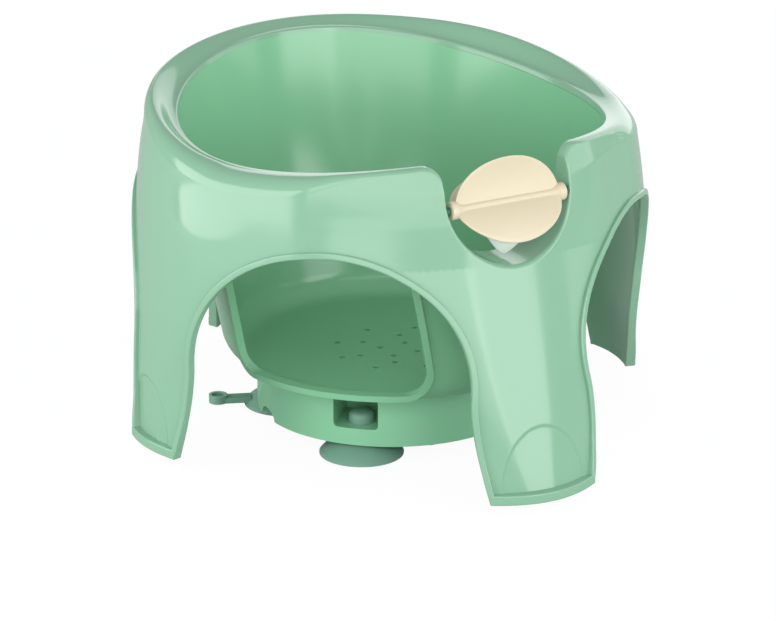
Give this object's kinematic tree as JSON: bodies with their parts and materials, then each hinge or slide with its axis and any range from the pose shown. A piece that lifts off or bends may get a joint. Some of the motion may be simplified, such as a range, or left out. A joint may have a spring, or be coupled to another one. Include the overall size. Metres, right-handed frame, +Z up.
{
  "type": "baby bath seat",
  "caption": "Bath seat for a baby: a ring on splayed legs round a drained bucket with leg openings, on a drum with suction cups, with a spinning roller in the front rim.",
  "frame": {"origin": "on the bath floor under the middle of the seat's overall length and width", "axes": "+Z up from the floor; -Y towards the front leg and the roller; +X to the right seen from the front leg's side of the bath, so the seated baby's left"},
  "size_m": [0.3468, 0.3824, 0.2188],
  "materials": {
    "sage_shell": "satin moulded polypropylene",
    "sage_bucket": "satin moulded polypropylene",
    "sage_drum": "satin moulded polypropylene",
    "cup_rubber": "smooth, slightly see-through",
    "beige_plastic": "satin",
    "white_plastic": "satin",
    "steel_pin": "bright drawn",
    "dark_bush": "matt",
    "steel_screws": "bright"
  },
  "bodies": {
    "seat": {"outer_shell": "sage_shell", "seat_bucket": "sage_bucket", "base_drum": "sage_drum", "axle_bush_left": "dark_bush", "axle_bush_right": "dark_bush", "rim_screws": "steel_screws", "base_screws": "steel_screws"},
    "roller": {"roller_wheel": "beige_plastic", "roller_white_vane": "white_plastic", "roller_axle": "steel_pin"},
    "cup_front_left": {"suction_cup_front_left": "cup_rubber"},
    "cup_front_right": {"suction_cup_front_right": "cup_rubber"},
    "cup_rear_left": {"suction_cup_rear_left": "cup_rubber"},
    "cup_rear_right": {"suction_cup_rear_right": "cup_rubber"}
  },
  "joints": [
    {"name": "roller_spin", "type": "hinge", "parent": "seat", "child": "roller", "pos_m": [0, -0.136, 0.178], "axis": [1, 0, 0], "continuous": true},
    {"name": "cup_front_left_swivel", "type": "hinge", "parent": "seat", "child": "cup_front_left", "pos_m": [-0.04879, -0.04879, 0.012], "axis": [0, 0, 1], "continuous": true},
    {"name": "cup_front_right_swivel", "type": "hinge", "parent": "seat", "child": "cup_front_right", "pos_m": [0.04879, -0.04879, 0.012], "axis": [0, 0, 1], "continuous": true},
    {"name": "cup_rear_left_swivel", "type": "hinge", "parent": "seat", "child": "cup_rear_left", "pos_m": [-0.04879, 0.04879, 0.012], "axis": [0, 0, 1], "continuous": true},
    {"name": "cup_rear_right_swivel", "type": "hinge", "parent": "seat", "child": "cup_rear_right", "pos_m": [0.04879, 0.04879, 0.012], "axis": [0, 0, 1], "continuous": true}
  ]
}
